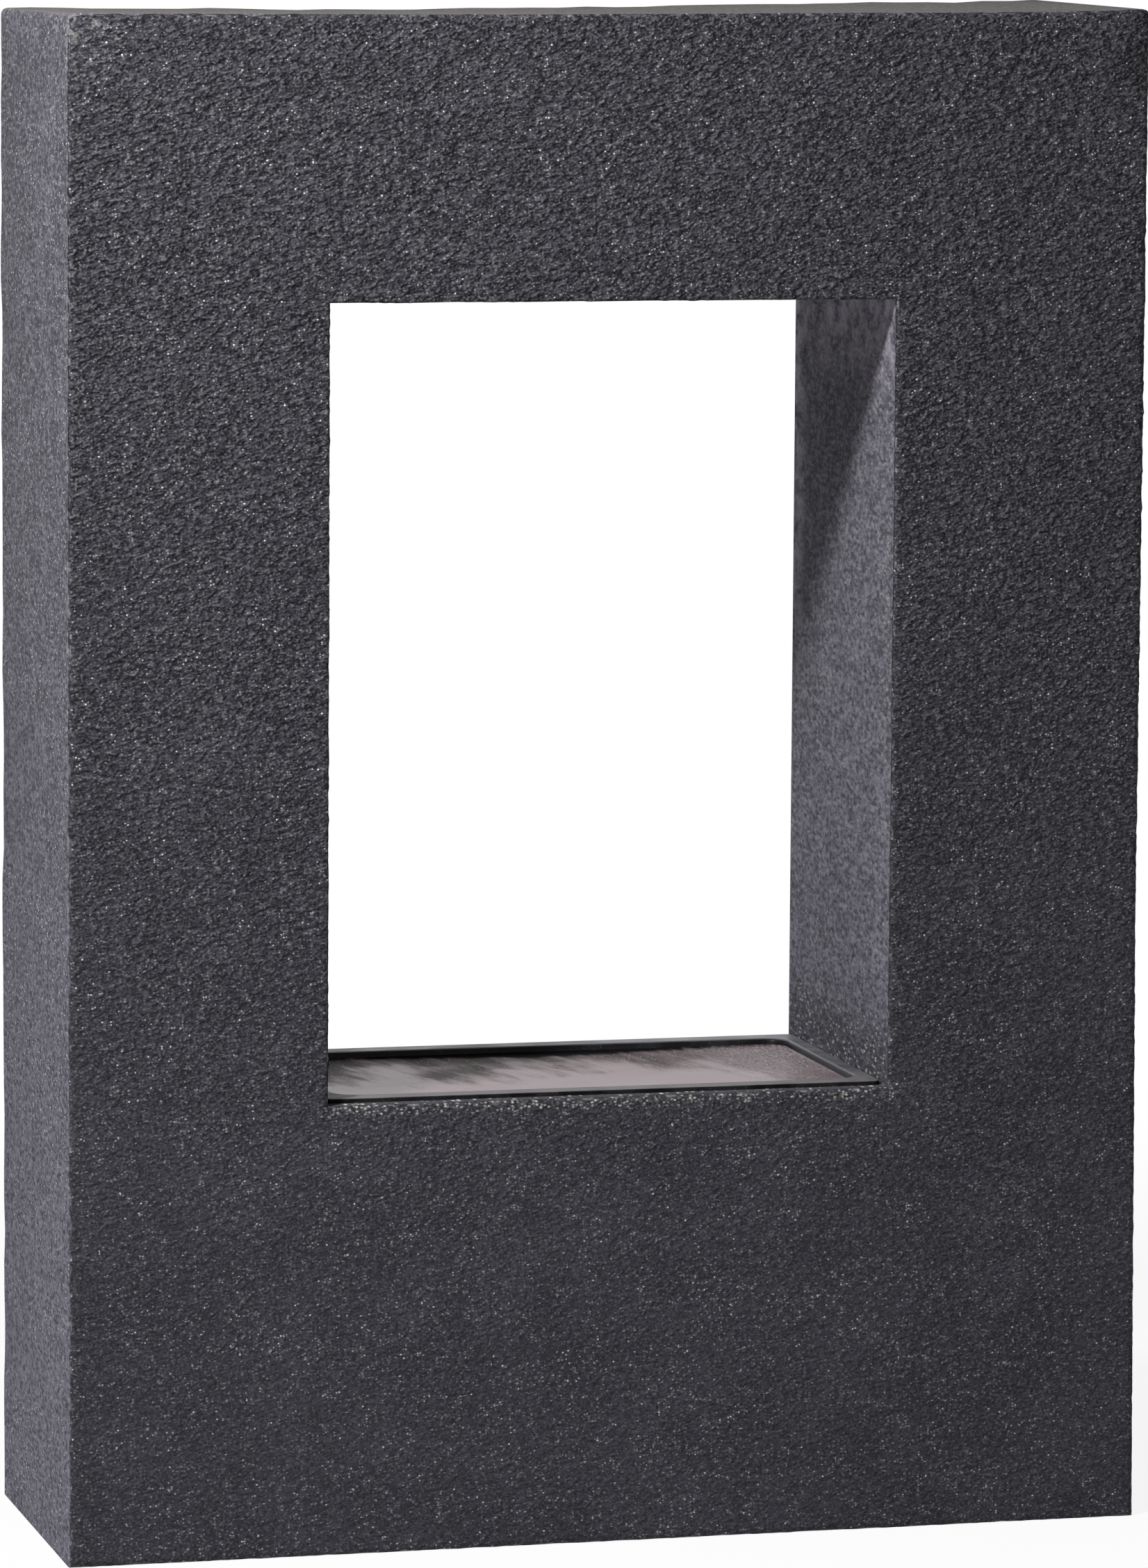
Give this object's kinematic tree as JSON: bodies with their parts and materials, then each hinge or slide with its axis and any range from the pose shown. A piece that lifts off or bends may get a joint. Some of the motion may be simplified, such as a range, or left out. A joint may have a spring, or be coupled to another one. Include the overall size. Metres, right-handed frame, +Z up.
{
  "type": "garden fountain",
  "caption": "Tall hollow cast-stone window frame fountain: a hidden pump lifts water to a slot in the lintel, and it falls into a lift-out tray on the sill.",
  "frame": {"origin": "middle of the base, on the ground", "axes": "+Z up, front face towards -Y, +X to the right as seen from the front"},
  "size_m": [0.54, 0.18, 0.75],
  "materials": {
    "cast_stone": "rough cast, dark grey with pale specks",
    "slab_stone": "trowelled, dark grey",
    "tray_plastic": "satin black",
    "still_water": "silty, still",
    "tub_plastic": "matt black",
    "pump_plastic": "black moulded",
    "dial_plastic": "grey moulded",
    "hose_plastic": "milky flexible",
    "stainless": "brushed sheet",
    "spring_steel": "plain",
    "brass": "turned",
    "rubber": "moulded black",
    "foam": "closed-cell grey",
    "ferrite": "sintered",
    "ceramic": "ground white"
  },
  "bodies": {
    "fountain": {"stone_casting": "cast_stone", "back_panel": "slab_stone", "panel_inserts": "brass", "panel_screws": "stainless", "cable_grommet": "rubber", "reservoir_tub": "tub_plastic", "pump_motor": "pump_plastic", "pump_volute": "pump_plastic", "pump_cover": "pump_plastic", "chamber_seal": "rubber", "rotor_shaft": "ceramic", "shaft_bushes": "rubber", "suction_feet": "rubber", "pump_gland": "rubber", "outlet_tail": "pump_plastic", "riser_hose": "hose_plastic", "lower_hose_clamp": "spring_steel", "upper_hose_clamp": "spring_steel", "hose_clips": "tub_plastic", "spout_trough": "stainless", "spout_lid": "stainless", "spout_baffle": "stainless", "spout_inlet": "stainless", "spout_gasket": "foam", "spout_screws": "stainless"},
    "tray": {"catch_tray": "tray_plastic"},
    "overflow": {"overflow_pipe": "tray_plastic"},
    "rotor": {"rotor_magnet": "ferrite", "impeller": "dial_plastic"},
    "dial": {"flow_dial": "dial_plastic"}
  },
  "joints": [
    {"name": "tray_lift", "type": "slide", "parent": "fountain", "child": "tray", "axis": [0, 0, 1], "range_m": [0, 0.15]},
    {"name": "overflow_lift", "type": "slide", "parent": "tray", "child": "overflow", "axis": [0, 0, 1], "range_m": [0, 0.03]},
    {"name": "rotor_spin", "type": "hinge", "parent": "fountain", "child": "rotor", "pos_m": [0.1, 0.0005, 0.048], "axis": [1, 0, 0], "continuous": true},
    {"name": "dial_turn", "type": "hinge", "parent": "fountain", "child": "dial", "pos_m": [0.1, 0.0005, 0.048], "axis": [1, 0, 0], "range_deg": [0, 90]}
  ]
}
